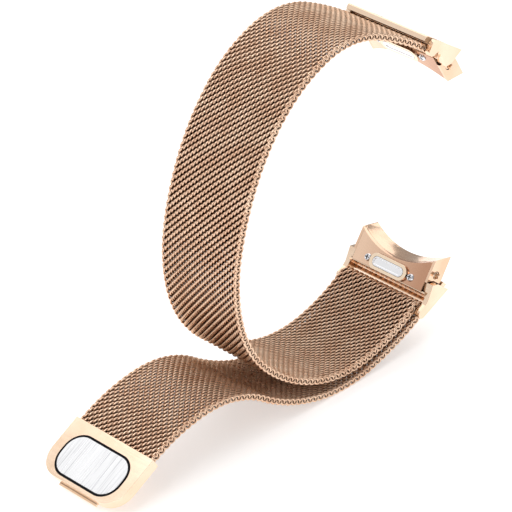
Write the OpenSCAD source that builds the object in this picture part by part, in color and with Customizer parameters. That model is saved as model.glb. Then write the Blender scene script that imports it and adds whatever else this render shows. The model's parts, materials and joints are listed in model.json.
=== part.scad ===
// Woven-mesh watch strap: a mesh band curled into a wrist loop, with a sprung
// quick-release connector at each end of the loop and a magnetic clasp on the tail.
// X runs along the strap's side profile, Y across its width, Z up from the table.

/* [Strap] */
// Width of the mesh band
strap_w = 20; // [18:0.5:22]
// Thickness of the mesh band
strap_t = 1.5; // [1.2:0.1:1.6]
// Length of one link of the tail
tail_link = 14.2; // [13:0.1:15]
// Length of one link of the wrist loop
loop_link = 13.5; // [13:0.1:14]

/* [Connectors] */
// Width of the lug end that fits between the watch's lugs
lug_w = 19.8; // [19.5:0.1:20]
// Width of the frame over its side arms
frame_w = 22.6; // [22.4:0.1:24]
// Radius of the watch case that the curved flange hugs
case_r = 21.4; // [21:0.1:22]
// How far each spring pin's tip stands out
pin_reach = 1; // [0.9:0.05:1.1]
// Radius of a spring pin's tip
tip_r = 0.45; // [0.4:0.05:0.5]

/* [Clasp] */
// Width of the clasp
clasp_w = 21.2; // [20.8:0.1:22]
// Length of the clasp along the strap
clasp_l = 11.7; // [11.7:0.1:13]
// Radius of the clasp's two front corners
clasp_r = 4.6; // [3:0.1:5]

/* [Hidden] */
$fn = 64;
gap = 0.05;                     // running clearance
eps = 0.01;
plate_w = 18.7;                 // lug end between the frame's arms
arm_in = 10.2;                  // half the gap between the arms at the slot
cover_tilt = 31.5;              // outer cover against the watch axis

// Strap side profile: [length, turn] of each link, followed outwards from the lower connector's bar
tail_arcs = [for (turn = [-14, -29, -23, 42, 24]) [tail_link, turn]];
loop_arcs = [for (turn = [-22, -34, -25, -34, -23, -13, -17, -26, -45, -13]) [loop_link, turn]];
bar_r = 0.55;                   // lower connector's cross bar
end_pin = [-0.73, 1.13];        // the band's end pin, in the upper connector's own frame
end_pin_r = 0.35;
fold_r = bar_r + gap + strap_t / 2;
knuckle_r = strap_t / 2 - 0.02; // rounded end of a link, a little inside the band's faces
tail_heading = 208;
loop_heading = 213;
lower_tilt = -6;                // watch axis against +X, at the lower connector
upper_tilt = -6;

// Where a walk along an arc ends: pose = [x, z, heading]
function arc_end(p, arc) = let(r = arc[0] / (arc[1] * PI / 180), h = p[2] + arc[1])
    [p[0] + r * (sin(h) - sin(p[2])), p[1] - r * (cos(h) - cos(p[2])), h];
function pose_at(p, arcs, i) = i == 0 ? p : arc_end(pose_at(p, arcs, i - 1), arcs[i - 1]);
function beside(h, side) = [-side * fold_r * sin(h), side * fold_r * cos(h), h];

// Poses measured from the bar, then moved so that the outline stands centred over the origin
tail_from_bar = beside(tail_heading, 1);
loop_from_bar = beside(loop_heading, -1);
tail_end_raw = pose_at(tail_from_bar, tail_arcs, 5);
clasp_front_x = tail_end_raw[0] + (clasp_l + 0.5) * cos(tail_end_raw[2]);
loop_end_raw = pose_at(loop_from_bar, loop_arcs, 10);
belly = pose_at(tail_from_bar, tail_arcs, 1);
belly_r = tail_link / (29 * PI / 180);
belly_z = belly[1] - belly_r * (1 - cos(belly[2] - 180)) - strap_t / 2;
bar_x = -(clasp_front_x + loop_end_raw[0] + 9.5) / 2;
bar_z = -belly_z;
function placed(p) = [p[0] + bar_x, p[1] + bar_z, p[2]];
tail_start = placed(tail_from_bar);
loop_start = placed(loop_from_bar);
tail_end = placed(tail_end_raw);
loop_end = placed(loop_end_raw);

// Lug end, in the connector's own frame: bar at the origin, watch axis along +X
slab_tilt = 58;                 // button wall against the watch axis
pin_x = 4.8;
pin_z = 6.0;
wall_n = 1.67;                  // wall above the pins' axis
plate_t = 0.6;
case_z = 28.05;                 // watch case's centre above the bar
flange_x = 9.15;                // outer rim of the flange
button_w = -2.35;               // button's middle, along the wall from the pins' axis
button_half = 4.0;
button_r = 0.95;
screw_y = 5.75;
pin_r = 0.75;                   // body of a spring pin, inside the lug end
pin_in = 5.3;                   // inner end of that body, from the middle
pin_out = 9.8;                  // outer end of that body
tip_in = 9.97;                  // inner end of the tip, past the lug end's face
pin_travel = 0.9;               // inward travel of a pin, and of the button

// ---- placing ----
module at_pose(p) translate([p[0], 0, p[1]]) rotate([0, -p[2], 0]) children();
module across(half) rotate([90, 0, 0]) linear_extrude(2 * half, center = true) children();
module rod(r, half) rotate([90, 0, 0]) cylinder(r = r, h = 2 * half, center = true);
module lower_place() translate([bar_x, 0, bar_z]) rotate([0, -lower_tilt, 0]) children();
// The strap's end pin lies on the band's middle line, the same distance from the frame's tip
// as the band lies from the lower connector's bar
module upper_place() translate([loop_end[0], 0, loop_end[1]]) rotate([0, -upper_tilt, 0])
    mirror([0, 0, 1]) translate([-end_pin[0], 0, -end_pin[1]]) children();
module at_pins() translate([pin_x, 0, pin_z]) rotate([0, -slab_tilt, 0]) children();
module at_clasp() at_pose(tail_end) rotate([180, 0, 0]) children();

// ---- strap ----
module band_arc(arc) {
    r = arc[0] / (abs(arc[1]) * PI / 180);
    mirror([0, 0, arc[1] < 0 ? 1 : 0]) translate([0, 0, r]) rotate([90, 0, 0]) rotate([0, 0, -90])
        rotate_extrude(angle = abs(arc[1]), $fn = 180)
            translate([r - strap_t / 2, -strap_w / 2]) square([strap_t, strap_w]);
}
// One link: hollow at its start, rounded knuckle at its end
module link(start, arcs, i, nose = true) color([0.80, 0.62, 0.48]) difference() {
    union() {
        at_pose(pose_at(start, arcs, i)) band_arc(arcs[i]);
        if (nose) at_pose(pose_at(start, arcs, i + 1)) rod(knuckle_r, strap_w / 2);
    }
    at_pose(pose_at(start, arcs, i)) rod(knuckle_r + gap, strap_w);
}
// The turn of mesh round the lower connector's bar, with a knuckle at each end
module strap_fold() color([0.80, 0.62, 0.48]) {
    translate([bar_x, 0, bar_z]) rotate([90, 0, 0]) rotate([0, 0, tail_heading - 270])
        rotate_extrude(angle = 180 + loop_heading - tail_heading)
            translate([bar_r + gap, -strap_w / 2]) square([strap_t, strap_w]);
    at_pose(tail_start) rod(knuckle_r, strap_w / 2);
    at_pose(loop_start) rod(knuckle_r, strap_w / 2);
}

// ---- connector pieces, in the connector's own frame ----
module arm_outline() {
    circle(r = 0.95);
    polygon([[-0.35, 0.88], [0.75, 1.45], [1.5, 2.3], [2.7, 5.1], [4.05, 4.92],
        [6.8, 2.9], [0.5, -0.81]]);
}
// Rounded lip along the slot that the mesh passes through
module lip_outline() polygon([[1.45, 3.35], [2.05, 2.2], [2.7, 2.2], [3.8, 1.95],
    [4.3, 2.0], [2.9, 2.82], [1.6, 3.6]]);
// Outer cover of the frame, along the cover's own direction
function cover_inside(u) = -0.18 + 0.036 * u;
module cover_outline(start) polygon([[start, -1.02], [8, -1.02], [7.7, cover_inside(7.7)],
    [start, cover_inside(start)]]);
// Ear of the upper frame's arm, round the band's end pin
module end_ear_outline() {
    translate(end_pin) circle(r = 0.9);
    polygon([[-1.35, 0.48], [-0.9, -0.3], [0.9, 1.35], [-0.35, 1.95]]);
}
// Lip of the upper frame that covers the band's end
module end_lip_outline() polygon([[-2.3, -0.72], [-2.15, -0.95], [-1.7, -1.02], [0.8, -1.02],
    [1.4, 0.4], [-0.2, 0.42], [-1.6, 0.3], [-2.3, 0.12]]);
module frame(cover_start, holds_pin = false) color([0.98, 0.85, 0.70]) difference() {
    union() {
        if (holds_pin) {
            for (side = [-1, 1]) translate([0, side * (frame_w / 2 + arm_in) / 2, 0])
                across((frame_w / 2 - arm_in) / 2) end_ear_outline();
            across(arm_in + eps) rotate(cover_tilt) end_lip_outline();
        }
        for (side = [-1, 1]) translate([0, side * (frame_w / 2 + arm_in) / 2, 0])
            across((frame_w / 2 - arm_in) / 2) arm_outline();
        for (side = [-1, 1]) translate([0, side * (arm_in + plate_w / 2 + gap) / 2, 0])
            across((arm_in - plate_w / 2 - gap) / 2 + eps)
                intersection() {
                    arm_outline();
                    polygon([[1.76, 2.9], [4.35, 2.1], [7, 2.7], [4.1, 5.2], [2.5, 5.2]]);
                }
        across(arm_in + eps) lip_outline();
        across(arm_in + eps) rotate(cover_tilt) cover_outline(cover_start);
    }
    if (holds_pin) translate([end_pin[0], 0, end_pin[1]]) rod(end_pin_r, frame_w / 2 - 0.4);
    else rod(bar_r, frame_w / 2 - 0.4);
}
module lug_solid() intersection() {
    union() {
        across(lug_w / 2) polygon([[1.36, 3.6], [4.95, 9.4], [9.2, 9.4], [4.56, 1.6]]);
        translate([flange_x, 0, case_z]) rotate([0, -90, 0]) rotate([0, 0, -40])
            rotate_extrude(angle = 80, $fn = 360)
                polygon([[20.8, 0], [22.4, 0], [24, 3.6], [20.8, 3.6]]);
    }
    difference() {
        translate([0, -lug_w / 2, 0]) cube([flange_x, lug_w, 9.2]);
        for (side = [-1, 1]) translate([0, side * (plate_w + 6) / 2, 0])
            across(3) polygon([[0, 0], [0, 5], [2.8, 5.3], [4.15, 5.1], [6.95, 2.95], [6, 0]]);
    }
}
module case_cut() {
    translate([-1, 0, case_z]) rotate([0, 90, 0]) cylinder(r = case_r, h = 6.2, $fn = 360);
    translate([5.19, 0, case_z]) rotate([0, 90, 0])
        cylinder(r1 = case_r, r2 = case_r + 0.45, h = flange_x - 5.18, $fn = 360);
}
module stadium(half, r, h) linear_extrude(h) {
    translate([-r, -(half - r)]) square([2 * r, 2 * (half - r)]);
    for (side = [-1, 1]) translate([0, side * (half - r)]) circle(r = r);
}
module plate_zone() difference() {
    at_pins() translate([-3.85, -plate_w / 2, wall_n - plate_t]) cube([7, plate_w, plate_t + 1]);
    at_pins() translate([-5, -12, wall_n]) cube([12, 24, 3]);
}
// Space for the button's legs and the two pin carriages
module works_cavity() at_pins() {
    translate([-3.5, -5.05, -1.5]) cube([2.4, 10.1, 3.2]);
    for (side = [-1, 1]) translate([-1.2, side * 4.17 - 0.88, -1.25]) cube([1.65, 1.76, 1.7]);
}
module pin_bores() at_pins() {
    bore_in = pin_in - pin_travel - gap;
    bore_out = lug_w / 2 + 1;
    for (side = [-1, 1]) {
        translate([0, side * (bore_in + bore_out) / 2, 0]) rod(pin_r + gap, (bore_out - bore_in) / 2);
        translate([button_w, side * screw_y, -0.6]) cylinder(r = 0.45, h = 3);
    }
}
// The frame's lip and cover, which the lug end and its cover plate stand against
module frame_tongue() {
    across(frame_w) lip_outline();
    across(frame_w) rotate(cover_tilt) cover_outline(0);
}
module lug_end() color([0.93, 0.76, 0.60]) difference() {
    lug_solid();
    case_cut();
    plate_zone();
    frame_tongue();
    difference() {
        works_cavity();
        at_pins() translate([-4, -0.3, -2]) cube([3.5, 0.6, 1.65]);
    }
    pin_bores();
}
module cover_plate() color([0.85, 0.65, 0.50]) difference() {
    union() {
        intersection() {
            plate_zone();
            across(12) polygon([[1.36, 3.6], [4.95, 9.4], [9, 9.4], [4.4, 1.6]]);
        }
        at_pins() translate([button_w, 0, wall_n - plate_t]) stadium(4.85, 1.6, plate_t + 0.5);
    }
    case_cut();
    frame_tongue();
    at_pins() translate([button_w, 0, 0]) stadium(button_half + gap, button_r + gap, 4);
    pin_bores();
}
module button() color([0.92, 0.92, 0.95]) at_pins() translate([button_w, 0, 0]) {
    difference() {
        translate([0, 0, 0.9]) stadium(button_half, button_r, 1.3);
        translate([0, 0, 2.08]) stadium(button_half - 0.35, button_r - 0.35, 1);
    }
    translate([0, 0, 0.7]) stadium(4.3, 1.05, plate_t - 0.23);
    for (side = [0, 1]) mirror([0, side, 0]) translate([-0.2, 0, 0]) rotate([90, 0, 90])
        linear_extrude(0.7, center = true) polygon([[2.2, 0.75], [3.4, -0.5], [4.1, -0.5], [4.1, 0.75]]);
}
module plate_screws() color([0.88, 0.88, 0.92]) at_pins() for (side = [-1, 1])
    translate([button_w, side * screw_y, 0]) difference() {
        union() {
            translate([0, 0, -0.6]) cylinder(r = 0.45, h = 2.4);
            translate([0, 0, wall_n]) cylinder(r1 = 0.8, r2 = 0.6, h = 0.3);
        }
        for (turn = [0, 90]) rotate(turn) translate([-0.5, -0.11, wall_n + 0.05]) cube([1, 0.22, 1]);
    }
// A spring pin and the carriage that its 45 degree face lets the button's leg push inwards
module pin(side) color([0.90, 0.80, 0.68]) mirror([0, side < 0 ? 0 : 1, 0]) mirror([0, 1, 0]) at_pins() {
    tip_out = lug_w / 2 + pin_reach;
    translate([0, (pin_in + pin_out) / 2, 0]) rod(pin_r, (pin_out - pin_in) / 2);
    translate([0, (tip_out + tip_in) / 2, 0]) rod(tip_r, (tip_out - tip_in) / 2);
    translate([0, pin_out, 0]) rotate([-90, 0, 0]) cylinder(r1 = pin_r, r2 = tip_r, h = tip_in - pin_out);
    translate([0, 4.9, 0]) rod(0.35, 0.6);
    translate([-1.05, 4.25, -1.15]) cube([1.4, 0.65, 1.5]);
    translate([-1.5, 4.25, -1.15]) cube([1, 0.65, 0.8]);
    translate([-1.9, 2.2, -1.15]) cube([0.75, 2.7, 0.8]);
    translate([-2.6, 0, 0]) rotate([90, 0, 90]) linear_extrude(1.45, center = true)
        polygon([[2.2, -1.15], [3.95, -1.15], [3.2, -0.4], [2.2, -0.4]]);
}
// Each spring fills the space between the middle post and its pin's carriage
module pin_spring(side) color([0.75, 0.75, 0.78]) at_pins() translate([button_w, side * 1.25, -0.78])
    difference() { rod(0.36, 0.9); rod(0.22, 2); }
module strap_bar() color([0.93, 0.76, 0.60]) rod(bar_r, frame_w / 2 - 0.4);

// ---- clasp, in its own frame: mesh side at the origin, +X away from the mesh, +Z the plate's side ----
module clasp_outline(grow = 0) {
    half = clasp_w / 2 + grow;
    translate([0, -half]) square([clasp_l + grow - clasp_r, 2 * half]);
    translate([0, -half + clasp_r]) square([clasp_l + grow, 2 * (half - clasp_r)]);
    for (side = [-1, 1]) translate([clasp_l + grow - clasp_r, side * (half - clasp_r)]) circle(r = clasp_r);
}
module rounded_plate(l, w, r, h) linear_extrude(h) {
    square([l - 2 * r, w], center = true);
    square([l, w - 2 * r], center = true);
    for (x = [-1, 1], y = [-1, 1]) translate([x * (l / 2 - r), y * (w / 2 - r)]) circle(r = r);
}
module mesh_pocket() translate([-1, -strap_w / 2 - 0.05, -strap_t / 2 - 0.02])
    cube([2.75, strap_w + 0.1, strap_t + 0.04]);
module clasp_shell() color([0.99, 0.87, 0.73]) at_clasp() difference() {
    translate([0, 0, -0.6]) linear_extrude(1.6) clasp_outline();
    translate([6.5, 0, -1]) rounded_plate(9, 16.9, 3.9, 3);
    mesh_pocket();
    translate([0.9, 0, 0]) rod(0.35, clasp_w / 2 - 0.15);
}
module clasp_base() color([0.96, 0.82, 0.67]) at_clasp() difference() {
    union() {
        translate([0, 0, -1.25]) linear_extrude(0.65) clasp_outline(-0.12);
        translate([clasp_l - 2, -5.2, -1.25]) cube([2.5, 10.4, 0.4]);
    }
    mesh_pocket();
}
module clasp_gasket() color([0.05, 0.05, 0.05]) at_clasp() translate([6.5, 0, 0.25]) difference() {
    rounded_plate(9, 16.9, 3.9, 0.8);
    translate([0, 0, -1]) rounded_plate(8.1, 16, 3.45, 3);
}
module clasp_plate() color([0.93, 0.93, 0.95]) at_clasp()
    translate([6.5, 0, 0.6]) rounded_plate(8.1, 16, 3.45, 0.47);
module clasp_magnet() color([0.45, 0.45, 0.48]) at_clasp() translate([6.5, 0, -0.6])
    rounded_plate(7.9, 15.8, 3.3, 1.2);
module clasp_mesh_pin() color([0.85, 0.7, 0.55]) at_clasp() translate([0.9, 0, 0])
    rod(0.35, clasp_w / 2 - 0.15);

// ---- assembly ----
module tail_link_end() difference() {
    union() {
        link(tail_start, tail_arcs, 4, nose = false);
        color([0.80, 0.62, 0.48]) at_pose(tail_end)
            translate([-0.3, -strap_w / 2, -knuckle_r]) cube([2, strap_w, 2 * knuckle_r]);
    }
    at_clasp() translate([0.9, 0, 0]) rod(0.35, strap_w);
}
// The last link of the loop turns on the upper connector's pin, in a short straight end
module loop_link_end() {
    straight = 0.7;
    share = 1 - straight / loop_link;
    last_arcs = [for (i = [0:9]) i < 9 ? loop_arcs[i] : loop_arcs[i] * share];
    difference() {
        union() {
            link(loop_start, last_arcs, 9, nose = false);
            color([0.80, 0.62, 0.48]) at_pose(loop_end) across(strap_w / 2)
                polygon([[-straight - 0.3, -knuckle_r], [0.35, -knuckle_r], [knuckle_r, -0.35],
                    [knuckle_r, 0.35], [0.35, knuckle_r], [-straight - 0.3, knuckle_r]]);
        }
        at_pose(loop_end) rod(0.4, strap_w);
    }
}

for (i = [0:3]) link(tail_start, tail_arcs, i);
tail_link_end();  // tail_link_5
strap_fold();
for (i = [0:8]) link(loop_start, loop_arcs, i);
loop_link_end();  // loop_link_10
lower_place() frame(2.45);  // lower_frame
lower_place() lug_end();  // lower_lug_end
lower_place() cover_plate();  // lower_cover_plate
lower_place() button();  // lower_button
lower_place() plate_screws();  // lower_plate_screws
lower_place() pin(-1);  // lower_pin_near
lower_place() pin(1);  // lower_pin_far
lower_place() pin_spring(-1);  // lower_spring_near
lower_place() pin_spring(1);  // lower_spring_far
lower_place() strap_bar();  // lower_strap_bar
upper_place() frame(0, holds_pin = true);  // upper_frame
upper_place() lug_end();  // upper_lug_end
upper_place() cover_plate();  // upper_cover_plate
upper_place() button();  // upper_button
upper_place() plate_screws();  // upper_plate_screws
upper_place() pin(-1);  // upper_pin_near
upper_place() pin(1);  // upper_pin_far
upper_place() pin_spring(-1);  // upper_spring_near
upper_place() pin_spring(1);  // upper_spring_far
at_pose(loop_end) rod(end_pin_r, frame_w / 2 - 0.4);  // upper_strap_pin
clasp_shell();
clasp_base();
clasp_magnet();
clasp_plate();
clasp_gasket();
clasp_mesh_pin();
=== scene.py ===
"""Looks for the woven-mesh watch strap: real wire coils for the mesh, rounded edges and
plated, brushed and rubber finishes for the connectors and the clasp. Metres throughout."""
import json
import math

import bmesh
import bpy
import numpy as np
from mathutils import Matrix, Vector

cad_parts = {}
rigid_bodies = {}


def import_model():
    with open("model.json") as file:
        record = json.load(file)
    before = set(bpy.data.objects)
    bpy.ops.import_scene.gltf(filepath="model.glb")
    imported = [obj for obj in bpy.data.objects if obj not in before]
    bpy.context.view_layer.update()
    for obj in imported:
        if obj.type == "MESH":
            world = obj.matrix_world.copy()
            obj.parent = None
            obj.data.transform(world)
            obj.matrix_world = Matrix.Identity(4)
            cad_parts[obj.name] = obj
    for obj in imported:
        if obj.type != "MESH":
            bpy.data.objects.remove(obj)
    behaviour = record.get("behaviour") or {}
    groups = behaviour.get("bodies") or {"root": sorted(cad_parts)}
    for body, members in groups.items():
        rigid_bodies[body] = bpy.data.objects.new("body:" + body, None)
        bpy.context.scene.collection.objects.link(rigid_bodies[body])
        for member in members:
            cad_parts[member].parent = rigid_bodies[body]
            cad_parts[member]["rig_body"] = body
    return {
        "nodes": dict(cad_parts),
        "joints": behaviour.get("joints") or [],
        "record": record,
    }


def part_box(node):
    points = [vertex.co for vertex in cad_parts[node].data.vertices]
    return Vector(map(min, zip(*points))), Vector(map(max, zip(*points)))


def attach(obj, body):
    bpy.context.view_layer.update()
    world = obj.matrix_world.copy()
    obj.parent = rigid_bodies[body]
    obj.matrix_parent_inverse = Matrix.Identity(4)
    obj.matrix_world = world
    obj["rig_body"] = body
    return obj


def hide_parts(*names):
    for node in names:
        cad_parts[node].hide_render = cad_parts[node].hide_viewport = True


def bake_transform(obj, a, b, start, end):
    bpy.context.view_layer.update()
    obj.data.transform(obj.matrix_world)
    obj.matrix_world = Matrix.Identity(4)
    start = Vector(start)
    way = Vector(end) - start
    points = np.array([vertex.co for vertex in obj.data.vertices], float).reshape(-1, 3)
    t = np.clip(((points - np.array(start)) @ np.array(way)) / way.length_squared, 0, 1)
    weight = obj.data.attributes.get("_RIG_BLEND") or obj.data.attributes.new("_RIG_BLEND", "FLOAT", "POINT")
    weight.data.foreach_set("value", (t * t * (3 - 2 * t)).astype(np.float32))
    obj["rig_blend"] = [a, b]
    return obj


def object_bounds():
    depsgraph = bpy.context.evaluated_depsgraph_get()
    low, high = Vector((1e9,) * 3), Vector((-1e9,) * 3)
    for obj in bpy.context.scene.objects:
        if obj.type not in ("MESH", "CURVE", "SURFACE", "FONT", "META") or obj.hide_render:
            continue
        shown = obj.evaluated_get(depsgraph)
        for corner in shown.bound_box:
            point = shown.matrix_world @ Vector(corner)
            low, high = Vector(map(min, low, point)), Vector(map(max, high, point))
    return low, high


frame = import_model()
CAD_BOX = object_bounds()
MM = 0.001

# Mesh: flattened wire coils lie across the band, each screwed into the next
ROW = 0.685 * MM            # spacing of neighbouring coils along the band
TURNS = 14.5                # turns of a coil between the band's edges
WIRE_R = 0.23 * MM          # wire radius
COIL_REACH = 0.66 * MM      # half the coil's size along the band, to the wire's middle
COIL_DEPTH = 0.52 * MM      # half the coil's size through the band, to the wire's middle
COIL_HALF = 9.79 * MM       # half the coil's length, across the band
TURN_STEPS = 16             # rings of the wire's surface in a turn
WIRE_SIDES = 6
BEND = 5 * MM               # how far to each side of a joint the band's bending spreads
FOLD_BEND = 1.2 * MM        # the same, on the fold round the lower connector's bar
PIN_IN_CLASP = 0.9 * MM     # from the clasp's mouth to the pin through the mesh's end
STRAIGHT = 1e-6             # a bend or turn smaller than this counts as none

# Machined pieces
SEAM_SHADE = (0.10, 0.035, 0.012) # painted shade in seams and recesses
BEZEL = 0.5 * MM            # height of the raised bezel round a button
WELD = 0.002 * MM           # points closer than this are one point
FLAT_WITHIN = math.radians(0.6)     # faces that meet at less than this are one face
ROUNDED_FROM = math.radians(28)     # edges that turn more than this are rounded
CRISP_FROM = math.radians(35)       # edges that turn more than this stay crisp in the shading
PLATE_TILT = math.radians(-28)      # slope of the scratches on the clasp's plate

# Pin springs
SPRING_WIRE_R = 0.07 * MM
SPRING_TURNS = 5
SPRING_STEPS = 20           # rings of the wire's surface in a turn
SPRING_SIDES = 8

# Camera
VIEW_AZIMUTH, VIEW_ELEVATION, VIEW_ROLL = (math.radians(a) for a in (39.77, 31.14, -5.18))
VIEW_TARGET = Vector((-0.0010, -0.0018, 0.0316))
VIEW_DISTANCE = 0.634
LENS = 245.7


# ---- small helpers ----
def add_object(name, data):
    piece = bpy.data.objects.new(name, data)
    bpy.context.scene.collection.objects.link(piece)
    return piece


def mesh_object(name, points, faces, material):
    """A smooth-shaded mesh piece from points and faces."""
    data = bpy.data.meshes.new(name)
    data.from_pydata(points, [], faces)
    data.validate()
    data.shade_smooth()
    data.materials.append(material)
    return add_object(name, data)


def store_number(piece, name, values):
    """Keeps one number for each point of a piece, for its material to read."""
    held = piece.data.attributes.new(name, "FLOAT", "POINT")
    held.data.foreach_set("value", values.astype(np.float32))


# ---- materials ----
def new_material(name, colour, metallic, roughness, **sockets):
    """A Principled material, and its node tree's nodes, links and shader to add detail to."""
    made = bpy.data.materials.new(name)
    made.use_nodes = True
    shader = made.node_tree.nodes["Principled BSDF"]
    shader.inputs["Base Color"].default_value = (*colour, 1)
    shader.inputs["Metallic"].default_value = metallic
    shader.inputs["Roughness"].default_value = roughness
    for socket, value in sockets.items():
        shader.inputs[socket.replace("_", " ")].default_value = value
    return made, made.node_tree.nodes, made.node_tree.links, shader


def noise(nodes, links, scale, detail, stretch=(1, 1, 1), turn=(0, 0, 0)):
    """Noise in the object's own metres, stretched along its axes once they are turned."""
    place = nodes.new("ShaderNodeTexCoord")
    mapping = nodes.new("ShaderNodeMapping")
    mapping.vector_type = "TEXTURE"
    mapping.inputs["Rotation"].default_value = turn
    mapping.inputs["Scale"].default_value = stretch
    texture = nodes.new("ShaderNodeTexNoise")
    texture.inputs["Scale"].default_value = scale
    texture.inputs["Detail"].default_value = detail
    links.new(place.outputs["Object"], mapping.inputs["Vector"])
    links.new(mapping.outputs["Vector"], texture.inputs["Vector"])
    return texture.outputs["Fac"]


def spread(nodes, links, value, low, high, start=0.35, stop=0.65):
    """Maps a 0 to 1 value between start and stop onto low to high."""
    ranged = nodes.new("ShaderNodeMapRange")
    for socket, number in (("From Min", start), ("From Max", stop), ("To Min", low), ("To Max", high)):
        ranged.inputs[socket].default_value = number
    links.new(value, ranged.inputs["Value"])
    return ranged.outputs["Result"]


def two_tone(nodes, links, value, first, second, start=0.35, stop=0.65):
    """A colour that runs from first to second with value."""
    ramp = nodes.new("ShaderNodeValToRGB")
    ramp.color_ramp.elements[0].position = start
    ramp.color_ramp.elements[1].position = stop
    ramp.color_ramp.elements[0].color = (*first, 1)
    ramp.color_ramp.elements[1].color = (*second, 1)
    links.new(value, ramp.inputs["Fac"])
    return ramp.outputs["Color"]


def bump(nodes, links, shader, height, distance, strength):
    """Relief from a 0 to 1 height, distance metres deep."""
    node = nodes.new("ShaderNodeBump")
    node.inputs["Strength"].default_value = strength
    node.inputs["Distance"].default_value = distance
    links.new(height, node.inputs["Height"])
    links.new(node.outputs["Normal"], shader.inputs["Normal"])


def mixed(nodes, links, amount, first, second):
    """Goes from first to second as amount rises from 0 to 1; each is a plain colour or a socket."""
    mix = nodes.new("ShaderNodeMix")
    mix.data_type = "RGBA"
    links.new(amount, mix.inputs["Factor"])
    for socket, colour in (("A", first), ("B", second)):
        if isinstance(colour, tuple):
            mix.inputs[socket].default_value = (*colour, 1)
        else:
            links.new(colour, mix.inputs[socket])
    return mix.outputs["Result"]


def shaded_colour(nodes, links, shader, amount, dark, colour):
    """Base colour that goes from dark to colour as amount rises from 0 to 1."""
    links.new(mixed(nodes, links, amount, dark, colour), shader.inputs["Base Color"])


def clear_of_seams(nodes, links, reach=0.5 * MM, start=0.34, stop=0.70):
    """1 on open surface, falling to 0 in seams and recesses: the mask for painted shade."""
    hollow = nodes.new("ShaderNodeAmbientOcclusion")
    hollow.samples = 8
    hollow.inputs["Distance"].default_value = reach
    return spread(nodes, links, hollow.outputs["AO"], 0, 1, start, stop)


def wire_material():
    """Plated wire, with painted shade where the weave hides it."""
    made, nodes, links, shader = new_material("rose_gold_wire", (0.86, 0.58, 0.39), 1, 0.3,
        Specular_Tint=(1, 0.84, 0.68, 1))
    patches = noise(nodes, links, 260, 4)
    gold = two_tone(nodes, links, patches, (0.80, 0.525, 0.365), (0.92, 0.665, 0.49))
    surface = nodes.new("ShaderNodeAttribute")
    surface.attribute_name = "openness"
    open_part = spread(nodes, links, surface.outputs["Fac"], 0, 1, 0.47, 0.88)
    # Painted shade: the wire darkens to deep brown where it lies deep inside the weave.
    shaded_colour(nodes, links, shader, open_part, (0.14, 0.048, 0.013), gold)
    links.new(spread(nodes, links, noise(nodes, links, 900, 2), 0.24, 0.38), shader.inputs["Roughness"])
    bump(nodes, links, shader, noise(nodes, links, 9000, 2), 0.004 * MM, 0.6)
    return made


def plated_material(name, dark, light, rough_low, rough_high):
    """Polished plating with faint drawn-out polishing lines, small changes of tone and painted shade in its
    seams and recesses.
    """
    made, nodes, links, shader = new_material(name, light, 1, rough_low)
    tone = two_tone(nodes, links, noise(nodes, links, 180, 3), dark, light)
    # Painted shade darkens the plating in its seams and recesses.
    shaded_colour(nodes, links, shader, clear_of_seams(nodes, links), SEAM_SHADE, tone)
    lines = noise(nodes, links, 2600, 3, stretch=(1, 14, 1))
    links.new(spread(nodes, links, lines, rough_low, rough_high), shader.inputs["Roughness"])
    bump(nodes, links, shader, lines, 0.0004 * MM, 0.5)
    return made


def wall_material():
    """Rose plating of the button walls, with a painted reflection that darkens it towards the near side, and
    a raised bezel made paler by a painted highlight.
    """
    made, nodes, links, shader = new_material("rose_gold_wall", (0.88, 0.58, 0.41), 1, 0.16)
    place = nodes.new("ShaderNodeTexCoord")
    parts = nodes.new("ShaderNodeSeparateXYZ")
    links.new(place.outputs["Object"], parts.inputs["Vector"])
    # Painted reflection: the wall darkens towards the near side.
    side = spread(nodes, links, parts.outputs["Y"], 0, 1, -9 * MM, 9 * MM)
    wall = two_tone(nodes, links, side, (0.60, 0.33, 0.21), (0.93, 0.65, 0.47), 0.05, 0.95)
    raised = nodes.new("ShaderNodeAttribute")
    raised.attribute_name = "raised"
    # Painted highlight: the raised bezel is paler than the wall.
    tone = mixed(nodes, links, raised.outputs["Fac"], wall, (1.0, 0.80, 0.60))
    # Painted shade darkens the wall in its seams and recesses.
    shaded_colour(nodes, links, shader, clear_of_seams(nodes, links), SEAM_SHADE, tone)
    marks = noise(nodes, links, 2600, 3, stretch=(1, 14, 1))
    links.new(spread(nodes, links, marks, 0.14, 0.22), shader.inputs["Roughness"])
    return made


def brushed_steel_material(tilt):
    """Satin steel with fine scratches that run along the band."""
    made, nodes, links, shader = new_material("brushed_plate_steel", (0.93, 0.93, 0.94), 1, 0.3)
    fine = noise(nodes, links, 2600, 4, stretch=(40, 1, 40), turn=(0, tilt, 0))
    scratches = noise(nodes, links, 4200, 3, stretch=(60, 1, 60), turn=(0, tilt, 0))
    links.new(two_tone(nodes, links, scratches, (0.88, 0.88, 0.89), (0.58, 0.58, 0.60), 0.54, 0.70),
        shader.inputs["Base Color"])
    links.new(spread(nodes, links, fine, 0.24, 0.40), shader.inputs["Roughness"])
    bump(nodes, links, shader, fine, 0.003 * MM, 0.5)
    return made


def bright_steel_material(name, colour, rough_low, rough_high):
    """Smooth steel, with painted shade in its seams."""
    made, nodes, links, shader = new_material(name, colour, 1, rough_low)
    tone = two_tone(nodes, links, noise(nodes, links, 300, 2), [0.96 * c for c in colour], colour)
    clear = clear_of_seams(nodes, links, 0.3 * MM, 0.30, 0.60)
    # Painted shade darkens the steel in its seams.
    shaded_colour(nodes, links, shader, clear, (0.05, 0.05, 0.055), tone)
    marks = noise(nodes, links, 3000, 4, stretch=(1, 6, 1))
    links.new(spread(nodes, links, marks, rough_low, rough_high), shader.inputs["Roughness"])
    bump(nodes, links, shader, marks, 0.0006 * MM, 0.5)
    return made


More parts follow.
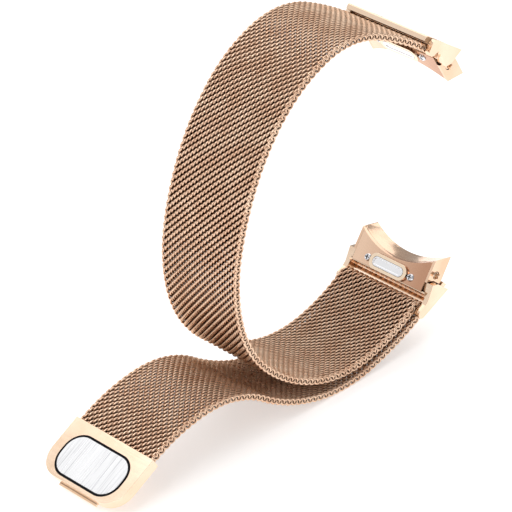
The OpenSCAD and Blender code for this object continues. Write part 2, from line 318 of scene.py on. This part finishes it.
def screw_material():
    """Bright screw steel, with painted shade in its drive recess."""
    made, nodes, links, shader = new_material("screw_steel", (0.86, 0.86, 0.90), 1, 0.14)
    clear = clear_of_seams(nodes, links, 0.5 * MM, 0.45, 0.85)
    tone = two_tone(nodes, links, noise(nodes, links, 900, 2), (0.80, 0.80, 0.84), (0.92, 0.92, 0.95))
    # Painted shade darkens the drive recess.
    shaded_colour(nodes, links, shader, clear, (0.03, 0.025, 0.022), tone)
    return made


def gasket_material():
    """Matt black rubber."""
    made, nodes, links, shader = new_material("black_gasket", (0.006, 0.006, 0.007), 0, 0.6,
        Specular_IOR_Level=0.1)
    grain = noise(nodes, links, 5000, 3)
    links.new(spread(nodes, links, grain, 0.5, 0.75), shader.inputs["Roughness"])
    bump(nodes, links, shader, grain, 0.008 * MM, 0.6)
    return made


# ---- the band's middle line, from the frame's joints ----
def flat(point):
    """A point's place in the XZ plane."""
    return np.array([point[0], point[2]])


def joint(name):
    return [j for j in frame["joints"] if j["name"] == name][0]


def joint_place(name):
    return flat(joint(name)["pos_m"])


def node_middle(node):
    low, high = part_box(node)
    return flat((low + high) / 2)


def direction(heading):
    """Unit step along a heading."""
    return np.array([math.cos(heading), math.sin(heading)])


class BandLine:
    """Arcs and straights that follow on smoothly, in the XZ plane, walked by length."""

    def __init__(self, start, heading):
        self.starts, self.origins, self.headings, self.bends = [0.0], [start], [heading], []

    def end(self):
        return self.origins[-1], self.headings[-1]

    def add(self, length, bend):
        """Goes on for length, turning bend radians a metre."""
        origin, heading = self.end()
        after = heading + bend * length
        if abs(bend) < STRAIGHT:
            moved = origin + length * direction(heading)
        else:
            moved = origin + np.array([math.sin(after) - math.sin(heading),
                math.cos(heading) - math.cos(after)]) / bend
        self.bends.append(bend)
        self.starts.append(self.starts[-1] + length)
        self.origins.append(moved)
        self.headings.append(after)

    def arc_to(self, point):
        """Adds the one arc that leaves the end smoothly and reaches point."""
        origin, heading = self.end()
        chord = point - origin
        turn = math.atan2(chord[1], chord[0]) - heading
        turn = 2 * ((turn + math.pi) % (2 * math.pi) - math.pi)
        span = float(np.hypot(*chord))
        length = span if abs(turn) < STRAIGHT else span * (turn / 2) / math.sin(turn / 2)
        self.add(length, turn / length)

    def at(self, length):
        """Positions (x, z) and headings at an array of lengths, going straight past both ends."""
        length = np.atleast_1d(length)
        index = np.clip(np.searchsorted(self.starts, length, side="right") - 1, 0, len(self.bends) - 1)
        origin, heading = np.array(self.origins)[index], np.array(self.headings)[index]
        bend, along = np.array(self.bends)[index], length - np.array(self.starts)[index]
        after = heading + bend * along
        safe = np.where(np.abs(bend) < STRAIGHT, 1, bend)
        curved = np.stack([np.sin(after) - np.sin(heading), np.cos(heading) - np.cos(after)], 1)
        curved /= safe[:, None]
        straight = along[:, None] * np.stack([np.cos(heading), np.sin(heading)], 1)
        return origin + np.where(np.abs(bend)[:, None] < STRAIGHT, straight, curved), after


def band_line():
    """The band from the pin in the clasp to the pin in the upper connector, and its joints.

    Each joint is (length along the band, body before, body after)."""
    bar = joint_place("lower_connector_swing")
    fold_in, fold_out = joint_place("fold_bend"), joint_place("loop_bend_00")
    plate = [m for m in frame["record"]["mounts"] if m["name"] == "magnet_face"][0]
    up = flat(plate["axis"])
    line = BandLine(node_middle("clasp_mesh_pin"), math.atan2(-up[0], up[1]))
    line.add(PIN_IN_CLASP, 0)
    joints = []
    tail = ["clasp", "tail_4", "tail_3", "tail_2", "tail_1", "fold"]
    for k, name in enumerate(["tail_bend_4", "tail_bend_3", "tail_bend_2", "tail_bend_1", "fold_bend"]):
        line.arc_to(joint_place(name))
        joints.append((line.starts[-1], tail[k], tail[k + 1]))
    fold_r = float(np.hypot(*(fold_in - bar)))
    into, out = fold_in - bar, fold_out - bar
    swept = (math.atan2(out[1], out[0]) - math.atan2(into[1], into[0])) % (2 * math.pi)
    line.add(fold_r * swept, 1 / fold_r)
    joints.append((line.starts[-1], "fold", "loop_01"))
    for k in range(1, 10):
        line.arc_to(joint_place(f"loop_bend_{k:02d}"))
        joints.append((line.starts[-1], f"loop_{k:02d}", f"loop_{k + 1:02d}"))
    line.arc_to(joint_place("upper_connector_swing"))
    return line, joints


# ---- the woven mesh ----
def coil_tube(odd):
    """One coil's wire surface in the band's flat frame: columns along, across and out of the band.

    The wire's last half turn at each edge lies flat: on the outer face for even coils and on the
    inner face for odd ones."""
    pitch = 2 * COIL_HALF / TURNS
    first = math.pi * (1 + odd)
    last = first + 2 * math.pi * TURNS
    steps = round((TURNS + 1) * TURN_STEPS)
    angle = np.linspace(first - math.pi, last + math.pi, steps + 1)
    across = np.clip((angle - first) / (2 * math.pi) * pitch - COIL_HALF, -COIL_HALF, COIL_HALF)
    middle = np.stack([COIL_REACH * np.cos(angle), across, COIL_DEPTH * np.sin(angle)], 1)
    along = np.gradient(middle, axis=0)
    along /= np.linalg.norm(along, axis=1)[:, None]
    outward = np.stack([np.cos(angle), np.zeros_like(angle), np.sin(angle)], 1)
    outward -= (outward * along).sum(1)[:, None] * along
    outward /= np.linalg.norm(outward, axis=1)[:, None]
    sideways = np.cross(along, outward)
    around = np.arange(WIRE_SIDES) * 2 * math.pi / WIRE_SIDES
    ring = np.cos(around)[:, None] * outward[:, None] + np.sin(around)[:, None] * sideways[:, None]
    return (middle[:, None] + WIRE_R * ring).reshape(-1, 3)


def tube_openness(tube):
    """How far each point of a coil stands out of the weave: 1 on the faces and on the band's edges."""
    edge = np.clip((np.abs(tube[:, 1]) - COIL_HALF) / (0.7 * WIRE_R), 0, 1)
    return np.maximum(np.abs(tube[:, 2]) / (COIL_DEPTH + WIRE_R), edge)


def tube_faces(rings, sides):
    """Quads round a tube of rings, and its two end caps."""
    i = np.arange(rings - 1)[:, None] * sides
    j = np.arange(sides)[None, :]
    k = (j + 1) % sides
    quads = np.stack([i + j, i + k, i + sides + k, i + sides + j], -1).reshape(-1, 4)
    caps = [list(range(sides))[::-1], list(range((rings - 1) * sides, rings * sides))]
    return quads, caps


def mesh_band(material):
    """The whole woven band, one piece across each joint, from mid link to mid link."""
    line, joints = band_line()
    total = line.starts[-1]
    rows = round(total / ROW)
    centres = np.linspace(0, total, rows + 1)
    tubes = [coil_tube(0), coil_tube(1)]
    rings = len(tubes[0]) // WIRE_SIDES
    quads, caps = tube_faces(rings, WIRE_SIDES)
    edges = [0.0] + [(a[0] + b[0]) / 2 for a, b in zip(joints, joints[1:])] + [total]
    replaced = [[f"tail_link_{k}"] for k in (5, 4, 3, 2, 1)] + [["strap_fold"]]
    replaced += [[f"loop_link_{k:02d}"] for k in range(1, 9)] + [["loop_link_09", "loop_link_10"]]
    for number, (place, before, after) in enumerate(joints):
        low, high = edges[number], edges[number + 1]
        inside = [k for k, c in enumerate(centres) if low <= c < high or (c == total and high == total)]
        points, faces = [], []
        for k in inside:
            tube = tubes[k % 2]
            spots, headings = line.at(centres[k] + tube[:, 0])
            x = spots[:, 0] - np.sin(headings) * tube[:, 2]
            z = spots[:, 1] + np.cos(headings) * tube[:, 2]
            offset = len(points) * len(tube)
            points.append(np.stack([x, tube[:, 1], z], 1))
            faces += (quads + offset).tolist() + [[v + offset for v in cap] for cap in caps]
        piece = mesh_object(f"woven_mesh_{number + 1:02d}", np.concatenate(points).tolist(), faces,
            material)
        # openness sets where the wire's painted shade falls.
        openness = np.concatenate([tube_openness(tubes[k % 2]) for k in inside])
        store_number(piece, "openness", openness)
        reach_before = FOLD_BEND if before == "fold" else BEND
        reach_after = FOLD_BEND if after == "fold" else BEND
        (start, end), _ = line.at(np.array([place - reach_before, place + reach_after]))
        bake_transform(piece, before, after, start=(start[0], 0, start[1]), end=(end[0], 0, end[1]))
        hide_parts(*replaced[number])


# ---- machined pieces ----
def rounded_copy(node, edge, material, segments=3):
    """A machined piece in the place of a CAD node: the same solid with its edges rounded."""
    source = frame["nodes"][node]
    data = source.data.copy()
    data.materials.clear()
    for name in [a.name for a in data.attributes if a.name.startswith("custom_normal")]:
        data.attributes.remove(data.attributes[name])
    work = bmesh.new()
    work.from_mesh(data)
    bmesh.ops.remove_doubles(work, verts=work.verts, dist=WELD)
    bmesh.ops.dissolve_limit(work, angle_limit=FLAT_WITHIN, verts=work.verts, edges=work.edges)
    work.to_mesh(data)
    work.free()
    data.materials.append(material)
    rough = add_object(node + "_rough", data)
    bevel = rough.modifiers.new("edges", "BEVEL")
    bevel.width = edge
    bevel.segments = segments
    bevel.limit_method = "ANGLE"
    bevel.angle_limit = ROUNDED_FROM
    bevel.miter_outer = "MITER_ARC"
    shaped = bpy.data.meshes.new_from_object(rough.evaluated_get(bpy.context.evaluated_depsgraph_get()))
    bpy.data.objects.remove(rough)
    shaped.shade_smooth()
    shaped.set_sharp_from_angle(angle=CRISP_FROM)
    piece = add_object(node + "_finish", shaped)
    weighted = piece.modifiers.new("weighted", "WEIGHTED_NORMAL")
    weighted.keep_sharp = True
    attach(piece, source["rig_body"])
    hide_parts(node)
    return piece


def spring_coil(node, pin_body, material):
    """A helical spring in the place of a spring's plain tube, which shortens as its pin moves in."""
    low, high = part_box(node)
    middle = (low + high) / 2
    radius = (high.x - low.x) / 2 - SPRING_WIRE_R
    half = (high.y - low.y) / 2 - SPRING_WIRE_R
    angle = np.linspace(0, 2 * math.pi * SPRING_TURNS, SPRING_TURNS * SPRING_STEPS)
    across = np.linspace(-half, half, len(angle))
    centre = np.stack([radius * np.cos(angle), across, radius * np.sin(angle)], 1)
    outward = np.stack([np.cos(angle), np.zeros_like(angle), np.sin(angle)], 1)
    around = np.arange(SPRING_SIDES) * 2 * math.pi / SPRING_SIDES
    ring = np.cos(around)[:, None] * outward[:, None] + np.sin(around)[:, None] * np.array([0, 1, 0])
    points = (centre[:, None] + SPRING_WIRE_R * ring).reshape(-1, 3) + np.array(middle)
    quads, caps = tube_faces(len(angle), SPRING_SIDES)
    piece = mesh_object(node + "_coil", points.tolist(), quads.tolist() + caps, material)
    inner, outer = sorted((low.y, high.y), key=abs)
    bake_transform(piece, frame["nodes"][node]["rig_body"], pin_body,
        start=(middle.x, inner, middle.z), end=(middle.x, outer, middle.z))
    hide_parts(node)


def mark_raised(piece, press_axis):
    """Marks the points of a cover plate that stand above its wall, out along the button's axis, for the
    painted highlight on the raised bezel.
    """
    points = np.empty(len(piece.data.vertices) * 3, np.float32)
    piece.data.vertices.foreach_get("co", points)
    height = -points.reshape(-1, 3) @ np.array(press_axis, np.float32)
    store_number(piece, "raised", height > height.max() - 0.9 * BEZEL)


def connectors(gold, rose, wall, pin_gold, steel, screw, spring):
    """Both connectors' machined pieces and springs."""
    for end in ("lower", "upper"):
        rounded_copy(f"{end}_frame", 0.10 * MM, gold)
        rounded_copy(f"{end}_lug_end", 0.08 * MM, rose)
        plate = rounded_copy(f"{end}_cover_plate", 0.06 * MM, wall)
        mark_raised(plate, joint(f"{end}_button_press")["axis"])
        rounded_copy(f"{end}_button", 0.10 * MM, steel)
        rounded_copy(f"{end}_plate_screws", 0.03 * MM, screw)
        for side in ("near", "far"):
            rounded_copy(f"{end}_pin_{side}", 0.08 * MM, pin_gold)
            spring_coil(f"{end}_spring_{side}", f"{end}_pin_{side}", spring)
    rounded_copy("lower_strap_bar", 0.08 * MM, pin_gold)
    rounded_copy("upper_strap_pin", 0.05 * MM, pin_gold)


def clasp(gold, pin_gold, plate, magnet, gasket):
    """The clasp's pieces."""
    rounded_copy("clasp_shell", 0.16 * MM, gold, 4)
    rounded_copy("clasp_base", 0.12 * MM, gold)
    rounded_copy("clasp_plate", 0.06 * MM, plate)
    rounded_copy("clasp_gasket", 0.03 * MM, gasket)
    rounded_copy("clasp_magnet", 0.1 * MM, magnet)
    rounded_copy("clasp_mesh_pin", 0.05 * MM, pin_gold)


# ---- camera, floor and lights ----
def look_from(azimuth, elevation, roll, target, distance):
    """The camera, aimed at target from a distance."""
    data = bpy.data.cameras.new("camera")
    data.lens = LENS
    data.sensor_width = 36
    data.clip_start, data.clip_end = 0.01, 20
    camera = add_object("camera", data)
    back = Vector((-math.sin(azimuth) * math.cos(elevation), -math.cos(azimuth) * math.cos(elevation),
        math.sin(elevation)))
    right = Vector((math.cos(azimuth), -math.sin(azimuth), 0))
    level = Matrix((right, back.cross(right), back)).transposed().to_4x4()
    place = Matrix.Translation(target + distance * back)
    camera.matrix_world = place @ level @ Matrix.Rotation(roll, 4, "Z")
    bpy.context.scene.camera = camera


def floor():
    """A plain pale floor under the part, with a little glow of its own."""
    made, nodes, links, shader = new_material("pale_floor", (0.86, 0.86, 0.86), 0, 0.6,
        Emission_Color=(1, 1, 1, 1), Emission_Strength=0.48)
    links.new(two_tone(nodes, links, noise(nodes, links, 6, 2), (0.85, 0.85, 0.85), (0.87, 0.87, 0.87)),
        shader.inputs["Base Color"])
    half = 4
    corners = [(-half, -half, 0), (half, -half, 0), (half, half, 0), (-half, half, 0)]
    ground = mesh_object("floor", corners, [(0, 1, 2, 3)], made)
    ground.location.z = CAD_BOX[0].z


def soft_light(name, place, aim, size, watts):
    """A rectangular soft box aimed at a point."""
    data = bpy.data.lights.new(name, "AREA")
    data.shape = "RECTANGLE"
    data.size, data.size_y = size
    data.energy = watts
    lamp = add_object(name, data)
    lamp.location = place
    lamp.rotation_euler = (Vector(aim) - Vector(place)).to_track_quat("-Z", "Y").to_euler()


def studio():
    """Even grey surroundings and three soft boxes."""
    world = bpy.data.worlds.new("studio")
    world.use_nodes = True
    world.node_tree.nodes["Background"].inputs["Color"].default_value = (1, 1, 1, 1)
    world.node_tree.nodes["Background"].inputs["Strength"].default_value = 0.40
    bpy.context.scene.world = world
    bpy.context.scene.view_settings.view_transform = "Standard"
    middle = (0, 0, 0.03)
    soft_light("overhead", (0.35, 0.45, 1.0), middle, (1.6, 1.6), 8)
    soft_light("key", (-0.75, -0.1, 0.8), middle, (0.6, 0.6), 4)
    soft_light("rear", (-0.55, 0.75, 0.55), middle, (0.8, 0.8), 0.9)


look_from(VIEW_AZIMUTH, VIEW_ELEVATION, VIEW_ROLL, VIEW_TARGET, VIEW_DISTANCE)
floor()
studio()
mesh_band(wire_material())
champagne = plated_material("champagne_gold", (0.93, 0.69, 0.50), (0.98, 0.76, 0.58), 0.12, 0.20)
rose = plated_material("rose_gold_polish", (0.86, 0.57, 0.39), (0.93, 0.66, 0.48), 0.10, 0.20)
pin_gold = plated_material("pin_gold", (0.80, 0.57, 0.40), (0.89, 0.67, 0.49), 0.16, 0.28)
connectors(champagne, rose, wall_material(), pin_gold,
    bright_steel_material("button_steel", (0.97, 0.97, 0.99), 0.16, 0.22),
    screw_material(),
    bright_steel_material("spring_steel", (0.72, 0.72, 0.75), 0.25, 0.40))
clasp(champagne, pin_gold, brushed_steel_material(PLATE_TILT),
    bright_steel_material("magnet_nickel", (0.55, 0.55, 0.58), 0.3, 0.45), gasket_material())
